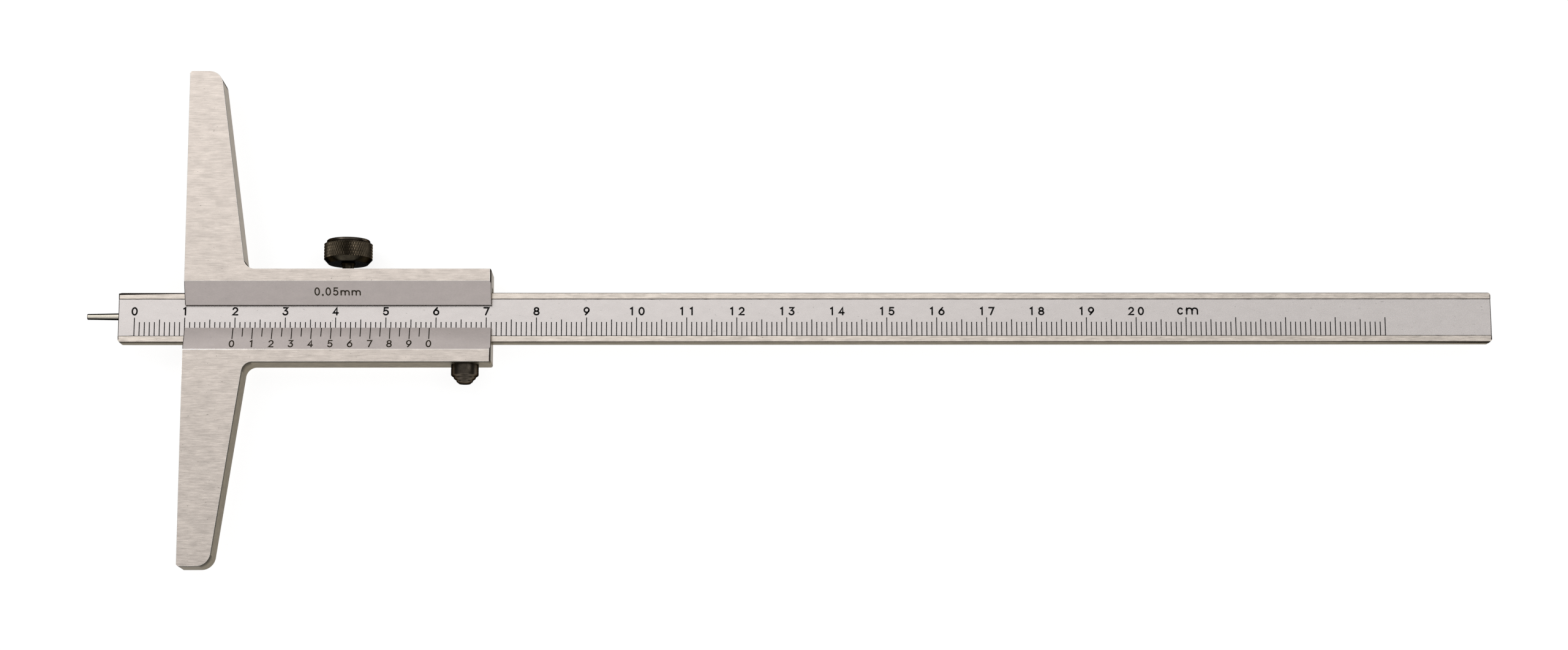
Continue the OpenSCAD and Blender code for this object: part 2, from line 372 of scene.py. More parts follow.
@dataclass(frozen=True)
class BlackOxideFinish(MetalFinish):
    """Blackened steel, a little browner and shinier where hands rub it."""

    roughness: float = 0.27
    roughness_spread: Point = (0.08, -0.06)
    relief_share: float = 0.4
    grazing: float = 0.0
    mottle: float = 0.3
    patch_size: float = 9.0

    def marks(self, sheet: NodeSheet) -> tuple[Socket, Socket, list[Socket]]:
        """Adds fine turning marks and rubbed patches.

        Args:
            sheet: Node tree of the finish's material.

        Returns:
            The noise of the relief, that of the roughness, and the shades of the colour.
        """
        turned = sheet.scratches(Grain.TURNED, size=1.0, detail=3.0)
        patches = sheet.scratches(Grain.SATIN, self.patch_size, detail=3.0)
        return turned, patches, [sheet.vary(turned, self.mottle / 2), sheet.vary(patches, self.mottle)]


@dataclass(frozen=True)
class InkFinish(Finish):
    """Dull black filler in engraved lines and figures, also used for dark lines of painted shade."""

    roughness: float = 0.7
    gloss: float = 0.2
    wear_size: float = 1.4
    wear: Point = (0.6, 1.5)

    def material(self) -> bpy.types.Material:
        """Makes the filler's material, a little paler where it is worn thin.

        Returns:
            The new material.
        """
        material, sheet, shader = NodeSheet.of_surface(
            self.name, Roughness=self.roughness, Specular_IOR_Level=self.gloss
        )
        worn = sheet.spread(sheet.scratches(Grain.SATIN, self.wear_size, detail=3.0), *self.wear)
        sheet.join(sheet.tint(self.colour, worn), shader.inputs["Base Color"])
        return material


LAND_STEEL = SteelFinish(
    "ground_land", (222, 211, 202), Grain.GROUND_ALONG,
    roughness=0.23, streaks=0.15, clouds=0.1, nicks=0.45,
)
BEVEL_STEEL = SteelFinish(
    "satin_bevel", (211, 201, 197), Grain.SATIN, roughness=0.4, streaks=0.05, clouds=0.035, nicks=0.15
)
# Milled steel of the walls, darker than the lands partly for its finish and partly as painted shade, and
# darker still towards its top edge as painted shade
WALL_STEEL = SteelFinish(
    "milled_wall", (166, 156, 138), Grain.MILLED,
    roughness=0.36, streaks=0.14, clouds=0.1, grazing=0.35, rim=(5.9, 7.0),
)
# Wall steel for the fillets, with the painted shade reaching further down from the top edge
FILLET_STEEL = replace(WALL_STEEL, name="fillet_wall_painted_shade", rim=(3.4, 6.8))
# Lighter copy of the wall steel for walls that face the right: painted light, with real nicks and painted
# shade at the top edge
UPPER_WALL_STEEL = SteelFinish(
    "ground_wall", (175, 163, 146), Grain.MILLED,
    roughness=0.34, streaks=0.14, clouds=0.12, nicks=0.6, grazing=0.6, rim=(6.3, 7.2), oil_shade=0.4,
)
# Dark copy of the steel for the window's lip walls, the steep halves of edge rounds and the rail's steps and
# chamfers: painted shade
LIP_STEEL = SteelFinish("dark_lip", (70, 62, 56), Grain.MILLED, roughness=0.45, streaks=0.2, grazing=0.1)
# Dark copy of the wall steel on the rounds of inner corners: painted shade
CORNER_STEEL = SteelFinish(
    "oily_corner", (104, 95, 83), Grain.MILLED, roughness=0.4, streaks=0.2, grazing=0.2
)
# Bright, smooth copy of the steel on the shallow halves of the edge rounds: a painted highlight
EDGE_STEEL = SteelFinish("broken_edge", (250, 246, 240), Grain.MILLED, roughness=0.15, streaks=0.1)
BACK_STEEL = SteelFinish("ground_back", (205, 196, 186), Grain.GROUND_ALONG, streaks=0.12, clouds=0.06)
FIELD_STEEL = SteelFinish(
    "satin_field", (230, 223, 220), Grain.SATIN, roughness=0.27, streaks=0.035, clouds=0.03, nicks=0.25
)
RIB_STEEL = SteelFinish(
    "ground_rib", (233, 222, 211), Grain.GROUND_ALONG,
    roughness=0.25, streaks=0.19, clouds=0.13, nicks=0.45,
)
# Ground pin with a near-white band where it faces along Z and near-black sides: a painted reflection
PIN_STEEL = SteelFinish(
    "ground_pin", (244, 236, 221), Grain.TURNED,
    roughness=0.16, streaks=0.1, grazing=0.0, oily_sides=(0.74, 0.98), oil_shade=0.01,
)
STRIP_STEEL = SteelFinish("rolled_strip", (120, 114, 106), Grain.GROUND_ALONG, roughness=0.4, streaks=0.15)
BLACK_OXIDE = BlackOxideFinish("black_oxide", (78, 71, 63))
# Darker copy of the black oxide for the knob's underside and the screw: painted shade
BLACK_UNDERSIDE = BlackOxideFinish("black_underside", (58, 53, 44), grazing=0.1)
RUBBED_KNURL = BlackOxideFinish("rubbed_knurl", (87, 78, 65), mottle=0.45)
SCALE_INK = InkFinish("scale_ink", (18, 16, 15))
VERNIER_INK = InkFinish("vernier_ink", (52, 45, 34))
# Dark lines along edges, corners and ends: painted shade
PAINTED_SHADE = InkFinish("painted_shade_line", (46, 39, 35))
SIDE_PAINTED_SHADE = InkFinish("side_painted_shade_line", (34, 28, 23), gloss=0.0)


def dress(solid: Solid, finishes: Iterable[Finish]) -> None:
    """Puts finishes in an object's slots, in place of the materials it has.

    Args:
        solid: Mesh object.
        finishes: Its finishes, in the order of the slots.
    """
    solid.data.materials.clear()
    for finish in finishes:
        solid.data.materials.append(finish.material())


def dress_by_zone(
    solid: Solid, zones: type[Enum], zone_at: Callable[[Vector, Vector], Enum]
) -> None:
    """Gives each face of a solid the finish of the zone that it lies in.

    Args:
        solid: Mesh object.
        zones: The solid's zones, whose values are finishes.
        zone_at: Gives the zone for a face's middle and normal.
    """
    order = list(zones)
    dress(solid, [zone.value for zone in order])
    for face in solid.data.polygons:
        face.material_index = order.index(zone_at(face.center, face.normal))


def new_solid(name: str, work: Work, *finishes: Finish) -> Solid:
    """Turns a mesh in work into an object of the scene.

    Args:
        name: Name of the object and of its mesh.
        work: The mesh, which is freed.
        finishes: The object's finishes.

    Returns:
        The new object.
    """
    mesh = bpy.data.meshes.new(name)
    work.to_mesh(mesh)
    work.free()
    solid = bpy.data.objects.new(name, mesh)
    bpy.context.scene.collection.objects.link(solid)
    dress(solid, finishes)
    return solid


def smoothed(solid: Solid, sharp_deg: float = 30.0) -> None:
    """Shades a solid smoothly apart from its sharp edges, with flat faces kept flat.

    Args:
        solid: Mesh object.
        sharp_deg: Angle between faces from which an edge stays sharp.
    """
    for face in solid.data.polygons:
        face.use_smooth = True
    solid.data.set_sharp_from_angle(angle=math.radians(sharp_deg))
    even = solid.modifiers.new("even_normals", "WEIGHTED_NORMAL")
    even.keep_sharp = True


def with_broken_edges(
    node: Solid, name: str, width_at: Callable[[bmesh.types.BMEdge], float]
) -> Solid:
    """Copies a node's solid and breaks its sharp edges with small rounds, the widest first.

    Args:
        node: CAD node, which stays as it is.
        name: Name of the copy.
        width_at: Gives the width of the round on an edge in metres, or 0 to leave it sharp.

    Returns:
        The copy.
    """
    def width_of(edge: bmesh.types.BMEdge) -> float:
        """Returns the width on an edge to a tenth of a micrometre."""
        return round(width_at(edge), 7)

    work = bmesh.new()
    work.from_mesh(node.data)
    bmesh.ops.remove_doubles(work, verts=work.verts, dist=WELD)
    bmesh.ops.dissolve_limit(
        work, angle_limit=math.radians(FLAT_DEG), verts=work.verts, edges=work.edges, delimit=set()
    )
    for width in sorted({width_of(edge) for edge in work.edges} - {0.0}, reverse=True):
        bmesh.ops.bevel(
            work,
            geom=[edge for edge in work.edges if edge.is_manifold and width_of(edge) == width],
            offset=width, offset_type="OFFSET", segments=2, profile=0.5,
            affect="EDGES", clamp_overlap=True, loop_slide=True,
        )
    return new_solid(name, work)


@dataclass(frozen=True)
class Plane:
    """Flat place on the gauge that figures and lines of painted shade lie on."""

    origin: Vector
    across: Vector
    up: Vector

    def normal(self) -> Vector:
        """Returns the way out of the steel."""
        return self.across.cross(self.up)

    def point(self, x: float, y: float, height: float) -> Vector:
        """Returns the point at x across, y up and a height above the plane."""
        return self.origin + self.across * x + self.up * y + self.normal() * height

    def depth(self, place: Vector) -> float:
        """Returns how far below the plane a point lies."""
        return (self.origin - place).dot(self.normal())


def arc(
    centre: Point, radius_x: float, radius_y: float, start_deg: float, end_deg: float, steps: int = 12
) -> list[Point]:
    """Returns points along part of an ellipse, in straight steps from one angle to another."""
    angles = [math.radians(start_deg + (end_deg - start_deg) * i / steps) for i in range(steps + 1)]
    return [(centre[0] + radius_x * math.cos(a), centre[1] + radius_y * math.sin(a)) for a in angles]


@dataclass(frozen=True)
class Engraver:
    """Pantograph that draws single-stroke figures and fills them with ink."""

    ink: InkFinish
    pen: float
    size: Point
    gap: float = 0.0
    sizes: dict[str, Point] = field(default_factory=dict)
    lift: float = 0.012 * MM
    point_pens: float = 1.5
    end_steps: int = 5
    least_mitre: float = 0.5

    @staticmethod
    def strokes(sign: str) -> list[list[Point]]:
        """Centre lines of one sign, in a box one unit wide and high.

        Args:
            sign: One of the figures, c, m or a point.

        Returns:
            A list of strokes, each a list of points. A closed stroke ends where it starts.
        """
        six = [
            arc((0.5, 0.33), 0.5, 0.33, 0, 360, 24),
            [(0.72, 1.0), (0.3, 0.7), (0.12, 0.53), (0.01, 0.36)],
        ]
        shapes = {
            "0": [arc((0.5, 0.5), 0.5, 0.5, 0, 360, 30)],
            "1": [[(0.26, 0.86), (0.6, 1.0), (0.6, 0.0)]],
            "2": [arc((0.5, 0.71), 0.46, 0.29, 165, -38) + [(0.02, 0.0), (1.0, 0.0)]],
            "3": [[(0.1, 1.0), (0.94, 1.0), (0.42, 0.6)] + arc((0.45, 0.3), 0.5, 0.3, 84, -155, 16)],
            "4": [[(0.72, 0.0), (0.72, 1.0), (0.0, 0.27), (1.0, 0.27)]],
            "5": [
                [(0.92, 1.0), (0.16, 1.0), (0.08, 0.53)] + arc((0.46, 0.32), 0.5, 0.32, 130, -150, 16)
            ],
            "6": six,
            "7": [[(0.0, 1.0), (1.0, 1.0), (0.36, 0.0)]],
            "8": [arc((0.5, 0.76), 0.42, 0.24, -90, 270, 20), arc((0.5, 0.26), 0.5, 0.26, 90, 450, 20)],
            "9": [[(1 - x, 1 - y) for x, y in stroke] for stroke in six],
            "c": [arc((0.5, 0.5), 0.5, 0.5, 42, 318, 16)],
            "m": [
                [(0.0, 0.0), (0.0, 1.0)],
                [(0.0, 0.62)] + arc((0.25, 0.62), 0.25, 0.38, 180, 0, 8) + [(0.5, 0.0)],
                [(0.5, 0.62)] + arc((0.75, 0.62), 0.25, 0.38, 180, 0, 8) + [(1.0, 0.0)],
            ],
            ".": [[(0.5, 0.0), (0.5, 0.02)]],
        }
        return shapes[sign]

    def sides(self, centre: list[Vector], closed: bool, width: float) -> tuple[list, list]:
        """Finds the two sides of a ribbon, with mitred corners.

        Args:
            centre: Centre line of the ribbon.
            closed: Whether the line runs on from its last point to its first.
            width: Width of the ribbon.

        Returns:
            The points on the left and on the right.
        """
        left, right = [], []
        for i, here in enumerate(centre):
            before = centre[i - 1] if i or closed else here
            after = centre[(i + 1) % len(centre)] if i < len(centre) - 1 or closed else here
            way_in = (here - before).normalized() if before is not here else (after - here).normalized()
            way_out = (after - here).normalized() if after is not here else way_in
            way = (way_in + way_out).normalized()
            side = Vector((-way.y, way.x)) * (width / 2 / max(way.dot(way_in), self.least_mitre))
            left.append(here + side)
            right.append(here - side)
        return left, right

    def ribbon(self, work: Work, line: list[Vector], plane: Plane, width: float) -> None:
        """Adds a flat ribbon along a line, with round ends where the line isn't closed.

        Args:
            work: Mesh that the ribbon is added to.
            line: Centre line on the plane.
            plane: Place that it lies on.
            width: Width of the ribbon.
        """
        closed = (line[0] - line[-1]).length < HAIR
        centre = line[:-1] if closed else line
        left, right = self.sides(centre, closed, width)
        stretches = list(zip(range(len(centre)), range(1, len(centre))))
        rings = []
        if closed:
            stretches.append((len(centre) - 1, 0))
        else:
            turn = [math.pi * k / self.end_steps for k in range(1, self.end_steps)]
            for middle, start, end in ((centre[0], left[0], right[0]), (centre[-1], right[-1], left[-1])):
                first = math.atan2(*(start - middle).yx)
                bend = [middle + Vector((math.cos(first + t), math.sin(first + t))) * width / 2 for t in turn]
                rings.append([start, *bend, end])
        rings += [[left[i], left[j], right[j], right[i]] for i, j in stretches]
        for ring in rings:
            work.faces.new([work.verts.new(plane.point(p.x, p.y, self.lift)) for p in ring])

    def write(self, name: str, plane: Plane, words: Iterable[tuple[str, Point]]) -> Solid:
        """Makes one object of several words.

        Args:
            name: Name of the object.
            plane: Place that the words stand on.
            words: Each word with the middle of its base line.

        Returns:
            The new object.
        """
        work = bmesh.new()
        for word, (middle, base) in words:
            sizes = [self.sizes.get(sign, self.size) for sign in word]
            left = middle - (sum(width for width, _ in sizes) + self.gap * (len(word) - 1)) / 2
            for sign, (width, height) in zip(word, sizes):
                corner = Vector((left, base)) + Vector((1, 1)) * self.pen / 2
                across, up = width - self.pen, height - self.pen
                for stroke in self.strokes(sign):
                    line = [corner + Vector((x * across, y * up)) for x, y in stroke]
                    self.ribbon(work, line, plane, self.pen * (self.point_pens if sign == "." else 1))
                left += width + self.gap
        bmesh.ops.recalc_face_normals(work, faces=work.faces)
        for face in work.faces:
            if face.normal.z < 0:
                face.normal_flip()
        return new_solid(name, work, self.ink)


def tapering_lines(
    name: str, plane: Plane, lines: Iterable[list[LinePoint]], lift: float, finish: Finish
) -> Solid:
    """Makes one object of flat lines that change their width on the way, such as the lines of painted shade
    along edges.

    Args:
        name: Name of the object.
        plane: Place that the lines lie on.
        lines: Each line as places across and up, with the line's width there.
        lift: Height above the plane.
        finish: The lines' finish.

    Returns:
        The new object.
    """
    work = bmesh.new()
    for line in lines:
        sides = []
        for (x0, y0, _), (x1, y1, _) in zip(line, line[1:]):
            sides.append(Vector((y0 - y1, x1 - x0)).normalized())
        sides.append(sides[-1])
        borders = [
            [plane.point(x + s.x * w * k, y + s.y * w * k, lift) for (x, y, w), s in zip(line, sides)]
            for k in (-0.5, 0.5)
        ]
        below, above = ([work.verts.new(point) for point in border] for border in borders)
        for i in range(len(line) - 1):
            work.faces.new([below[i], below[i + 1], above[i + 1], above[i]])
    return new_solid(name, work, finish)


@dataclass(frozen=True)
class Waver:
    """Line along X that wavers a little, the same way on each run."""

    width: float
    reach: float
    step: float = 0.9 * MM
    slow_per_mm: Point = (0.61, 1.73)
    fast_per_mm: float = 4.1
    slow_share: float = 0.3
    fast_share: float = 0.4
    width_share: float = 0.2
    slow_shift: Point = (3100.0, 1.3)
    fast_shift: float = 1700.0

    def line(self, start: float, end: float, across: float) -> list[LinePoint]:
        """Lays the line from one X to another.

        Args:
            start: X of its first point.
            end: X of its last point.
            across: Y of its course.

        Returns:
            Places along the line with the width there.
        """
        count = round((end - start) / self.step)
        points = []
        for i in range(count + 1):
            x = start + (end - start) * i / count
            slow = math.sin(x / MM * self.slow_per_mm[0] + across * self.slow_shift[0])
            slow += math.sin(x / MM * self.slow_per_mm[1] + self.slow_shift[1])
            fast = math.sin(x / MM * self.fast_per_mm + across * self.fast_shift)
            y = across + self.reach * (self.slow_share * slow + self.fast_share * fast)
            points.append((x, y, self.width * (1 + self.width_share * slow * fast)))
        return points


class BridgeZone(Enum):
    """Surfaces of the bridge, each with its finish: some were worked in different ways, and some are lighter
    and darker copies of the steel as painted light and painted shade.
    """

    LAND = LAND_STEEL
    BEVEL = BEVEL_STEEL
    WALL = WALL_STEEL
    LIP = LIP_STEEL
    LINE = VERNIER_INK
    EDGE = EDGE_STEEL
    BACK = BACK_STEEL
    UPPER_WALL = UPPER_WALL_STEEL
    FILLET = FILLET_STEEL
    CORNER = CORNER_STEEL


@dataclass
class Bridge:
    """Crossbar and slider frame, with the vernier's lines and figures on its bevels."""

    window_up: float = 2.4 * MM
    window_down: float = 2.2 * MM
    lip_top: float = 5.6 * MM
    crest_up: float = 6.95 * MM
    crest_down: float = 6.85 * MM
    line_depth: float = 0.07 * MM
    outer_break: float = 0.18 * MM
    crest_break: float = 0.06 * MM
    sharp_deg: float = 18.0
    upright_h: float = 5.0 * MM
    arms_from_y: float = 6.0 * MM
    lit_from_y: float = -7.5 * MM
    bevel_facing: Point = (0.9, 0.95)
    # Normal Z over which an edge round's face gets the painted highlight rather than painted shade
    edge_facing: float = 0.75
    # Normal X over which a wall gets the lighter copy of the steel: painted light
    lit_facing: float = 0.7
    # Share of the normal along X and Y over which a corner round gets painted shade
    round_facing: float = 0.15
    zero_x: float = 9.65 * MM
    division: float = 1.95 * MM
    divisions: int = 20
    figure_size: Point = (1.12 * MM, 1.72 * MM)
    figure_base: float = 4.62 * MM
    mark_size: Point = (1.13 * MM, 1.7 * MM)
    mark_m_size: Point = (1.85 * MM, 1.15 * MM)
    mark_gap: float = 0.36 * MM
    mark_x: float = 30.4 * MM
    mark_base: float = 1.9 * MM
    pen: float = 0.27 * MM
    # Width and lift of the lines of painted shade at the bevels' ends
    stain_w: float = 0.12 * MM
    stain_lift: float = 0.006 * MM

    def __post_init__(self) -> None:
        """Takes the bridge's height and length from the frame, and lays a plane on each bevel."""
        self.low, self.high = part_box("bridge")
        drop = self.high.z - self.lip_top
        down = Vector((0, self.crest_down - self.window_down, -drop)).normalized()
        up = Vector((0, self.crest_up - self.window_up, drop)).normalized()
        self.lower = Plane(Vector((0, -self.window_down, self.lip_top)), ALONG, down)
        self.upper = Plane(Vector((0, self.window_up, self.lip_top)), ALONG, up)

    def sunk(self, place: Vector) -> float:
        """Returns how deep a point lies below the bevel beside it."""
        return (self.lower if place.y < 0 else self.upper).depth(place)

    def in_line(self, place: Vector) -> bool:
        """Tells whether a point belongs to one of the vernier's cut lines.

        Args:
            place: Point on the bridge.

        Returns:
            True for the walls, ends and bottom of a line.
        """
        within = HAIR < self.sunk(place) < self.line_depth + HAIR
        along = self.low.x + MM < place.x < self.high.x - MM
        return within and along and -self.crest_down < place.y < -self.window_down + 2 * HAIR

    def zone(self, place: Vector, normal: Vector) -> BridgeZone:
        """Sorts a face by where it lies and which way it faces.

        Args:
            place: Middle of the face.
            normal: The face's normal.

        Returns:
            The zone that the face belongs to.
        """
        on_bevel = abs(self.sunk(place)) < HAIR
        slanted = UPRIGHT <= abs(normal.z) <= SQUARE
        right = normal.x > self.round_facing
        rules = (
            (BridgeZone.LINE, self.in_line(place)),
            (BridgeZone.LAND, normal.z > SQUARE and place.z > self.high.z - HAIR),
            (BridgeZone.BEVEL, on_bevel and self.bevel_facing[0] < normal.z < self.bevel_facing[1]),
            (BridgeZone.BACK, normal.z < -SQUARE and place.z < HAIR),
            # Lip walls: painted shade
            (BridgeZone.LIP, abs(normal.y) > SQUARE and abs(place.y) < self.window_up + HAIR),
            # Edge rounds: painted highlight on their shallow halves, painted shade on their steep ones
            (BridgeZone.EDGE, slanted and normal.z > self.edge_facing),
            (BridgeZone.LIP, slanted),
            # Corner rounds and fillets: painted shade
            (BridgeZone.CORNER, place.y > 0 and right and normal.y > self.round_facing),
            (BridgeZone.FILLET, place.y < 0 and right and normal.y < -self.round_facing),
            # Walls facing the right: painted light; the other walls are partly painted shade
            (BridgeZone.UPPER_WALL, normal.x > self.lit_facing and place.y > self.lit_from_y),
            (BridgeZone.WALL, True),
        )
        return next(zone for zone, holds in rules if holds)

    def break_at(self, edge: bmesh.types.BMEdge) -> float:
        """Width of the round on an edge of the bridge.

        Args:
            edge: Edge of the solid.

        Returns:
            The width in metres, or 0 for an edge that stays sharp.
        """
        if len(edge.link_faces) != 2 or edge.calc_face_angle(0.0) < math.radians(self.sharp_deg):
            return 0.0
        ends = [vert.co for vert in edge.verts]
        in_front = all(end.z > self.high.z - HAIR for end in ends)
        if in_front and all(abs(self.sunk(end)) < HAIR for end in ends):
            return self.crest_break
        if in_front or all(end.z < HAIR for end in ends):
            return self.outer_break
        if any(self.in_line(end) or abs(self.sunk(end)) < HAIR and end.y < 0 for end in ends):
            return 0.0
        upright = abs(ends[0].z - ends[1].z) > self.upright_h
        on_arm = abs(ends[0].y + ends[1].y) / 2 > self.arms_from_y
        return self.outer_break if upright and on_arm else 0.0

    def build(self, node: Solid) -> list[Solid]:
        """Makes the bridge with broken edges, its figures and its lines of painted shade.

        Args:
            node: CAD node of the bridge.

        Returns:
            The pieces.
        """
        solid = with_broken_edges(node, "bridge_ground", self.break_at)
        dress_by_zone(solid, BridgeZone, self.zone)
        smoothed(solid)
        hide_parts("bridge")
        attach(solid, "bridge")
        details = [*self.figures(), *self.end_stains()]
        for piece in details:
            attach(piece, "bridge")
        return [solid, *details]

    def figures(self) -> list[Solid]:
        """Makes the figures below every second line of the vernier, and the mark for its reading.

        Returns:
            One object on each bevel.
        """
        words = [
            (str(k % 10), (self.zero_x + 2 * k * self.division, -self.figure_base))
            for k in range(self.divisions // 2 + 1)
        ]
        mark_sizes = {"m": self.mark_m_size, ".": (1.3 * self.pen, self.mark_size[1])}
        row = Engraver(VERNIER_INK, self.pen, self.figure_size)
        mark = Engraver(VERNIER_INK, self.pen, self.mark_size, self.mark_gap, mark_sizes)
        return [
            row.write("vernier_figures", self.lower, words),
            mark.write("reading_mark", self.upper, [("0.05mm", (self.mark_x, self.mark_base))]),
        ]

    def end_stains(self) -> list[Solid]:
        """Makes the lines of painted shade at both ends of the bevels.

        Returns:
            One object on each bevel.
        """
        ends = (self.low.x + self.stain_w / 2, self.high.x - self.stain_w / 2)
        pieces = []
        for name, plane, run, way in (
            ("lower_bevel_painted_shade", self.lower, self.crest_down - self.window_down, -1),
            ("upper_bevel_painted_shade", self.upper, self.crest_up - self.window_up, 1),
        ):
            reach = math.hypot(run, self.high.z - self.lip_top) - self.stain_w
            lines = [
                [(x, way * self.stain_w / 2, 1.1 * self.stain_w), (x, way * reach, 0.8 * self.stain_w)]
                for x in ends
            ]
            pieces.append(tapering_lines(name, plane, lines, self.stain_lift, PAINTED_SHADE))
        return pieces


class RailZone(Enum):
    """Surfaces of the rail, each with its finish: most were worked in different ways, and the steps and
    chamfers take a dark copy of the steel as painted shade.
    """

    FIELD = FIELD_STEEL
    RIB = RIB_STEEL
    LINE = SCALE_INK
    STEP = LIP_STEEL
    SIDE = WALL_STEEL
    BACK = BACK_STEEL


@dataclass
class Rail:
    """Graduated bar, with a figure at every centimetre."""

    head: float = 3.2 * MM
    rib: float = 1.2 * MM
    field_depth: float = 0.15 * MM
    line_depth: float = 0.07 * MM
    centimetres: int = 20
    figure_size: Point = (1.27 * MM, 1.74 * MM)
    figure_base: float = 0.4 * MM
    figure_gap: float = 0.68 * MM
    unit_size: Point = (1.32 * MM, 1.52 * MM)
    unit_m_width: float = 2.48 * MM
    unit_gap: float = 0.46 * MM
    unit_shift: float = 0.37 * MM
    unit_rise: float = 0.1 * MM
    pen: float = 0.33 * MM
    # Widths, lift, reach and places of the lines of painted shade along the ribs, at the rail's ends and on
    # its lower side
    stain_w: float = 0.13 * MM
    stain_lift: float = 0.004 * MM
    stain_waver: float = 0.15
    rim_inset: float = 0.14 * MM
    wedge_w: float = 0.36 * MM
    wedge_len: float = 16.0 * MM
    side_w: float = 0.6 * MM
    side_break: float = 0.3 * MM
    side_left_len: float = 100.0 * MM
    side_right_len: float = 32.0 * MM

    def __post_init__(self) -> None:
        """Takes the rail's place and height from the frame."""
        self.low, self.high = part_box("rail")
        self.field_z = self.high.z - self.field_depth
        self.scale = Plane(Vector((self.low.x + self.head, 0, self.field_z)), ALONG, ACROSS)

    def zone(self, place: Vector, normal: Vector) -> RailZone:
        """Sorts a face by where it lies and which way it faces.

        Args:
            place: Middle of the face.
            normal: The face's normal.

        Returns:
            The zone that the face belongs to.
        """
        sunk = HAIR < self.field_z - place.z < self.line_depth + HAIR
        if sunk and abs(place.y) < self.high.y - self.rib:
            return RailZone.LINE
        if normal.z > SQUARE:
            return RailZone.FIELD if place.z < self.high.z - HAIR else RailZone.RIB
        if normal.z < -SQUARE:
            return RailZone.BACK
        # Steps and chamfers: painted shade
        at_step = place.z > self.field_z and abs(place.y) < self.high.y - self.rib + HAIR
        return RailZone.STEP if at_step or normal.z > UPRIGHT else RailZone.SIDE

    def build(self, node: Solid) -> list[Solid]:
        """Dresses the rail and makes its figures and its lines of painted shade.

        Args:
            node: CAD node of the rail.

        Returns:
            The pieces.
        """
        dress_by_zone(node, RailZone, self.zone)
        details = [*self.figures(), *self.stains()]
        for piece in details:
            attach(piece, "rail")
        return [node, *details]

    def figures(self) -> list[Solid]:
        """Makes the centimetre figures, each centred over its line, and the unit after the last one.

        Returns:
            One object for the figures and one for the unit.
        """
        words = [(str(cm), (10 * MM * cm, self.figure_base)) for cm in range(self.centimetres + 1)]
        middle = 10 * MM * (self.centimetres + 1) + self.unit_shift
        unit_sizes = {"m": (self.unit_m_width, self.unit_size[1])}
        row = Engraver(SCALE_INK, self.pen, self.figure_size, self.figure_gap)
        unit = Engraver(SCALE_INK, self.pen, self.unit_size, self.unit_gap, unit_sizes)
        return [
            row.write("scale_figures", self.scale, words),
            unit.write("scale_unit", self.scale, [("cm", (middle, self.figure_base + self.unit_rise))]),
        ]

    def stains(self) -> list[Solid]:
        """Makes the lines of painted shade along the ribs, at the rail's two ends and on its lower side.

        Returns:
            One object on the field, one on the ribs and one on the lower side.
        """
        left, right = self.low.x, self.high.x
        edge = self.stain_w
        inner = self.high.y - self.rib
        rim = self.high.y - self.rim_inset
        waver = Waver(edge, self.stain_waver * edge)
        field_lines = [
            *(waver.line(left + edge, right - edge, side * (inner - edge / 2)) for side in (-1, 1)),
            [(left + edge / 2, -inner, edge), (left + edge / 2, inner, edge)],
            [(right - 0.65 * edge, -inner, 1.3 * edge), (right - edge / 2, inner, 0.8 * edge)],
        ]
        rib_lines = [
            [(left + edge, rim - edge, self.wedge_w), (left + self.wedge_len, rim, 0.3 * edge)],
            [(left + 0.7 * edge, inner, 1.3 * edge), (left + 0.8 * edge, rim, 1.6 * edge)],
            [(right - 0.6 * edge, inner, 0.9 * edge), (right - edge, rim - 2 * edge, edge)],
            [(right - 0.7 * edge, -inner, 1.2 * edge), (right - edge, -rim + 2 * edge, 1.9 * edge)],
            [(left + 0.6 * edge, -inner, 1.1 * edge), (left + edge, -rim + 3 * edge, 1.2 * edge)],
        ]
        top = self.high.z - self.side_break
        side_ends = (
            ((left + self.side_break, 1.0), (left + self.side_left_len, 0.2)),
            ((right - self.side_right_len, 0.15), (right - self.side_break, 2.4)),
        )
        side_lines = [
            [(x, top - share * self.side_w / 2, share * self.side_w) for x, share in ends]
            for ends in side_ends
        ]
        on_field = Plane(Vector((0, 0, self.field_z)), ALONG, ACROSS)
        on_ribs = Plane(Vector((0, 0, self.high.z)), ALONG, ACROSS)
        on_side = Plane(Vector((0, self.low.y, 0)), ALONG, OUTWARD)
        return [
            tapering_lines("field_painted_shade", on_field, field_lines, self.stain_lift, PAINTED_SHADE),
            tapering_lines("rib_painted_shade", on_ribs, rib_lines, self.stain_lift, PAINTED_SHADE),
            tapering_lines("side_painted_shade", on_side, side_lines, self.stain_lift, SIDE_PAINTED_SHADE),
        ]


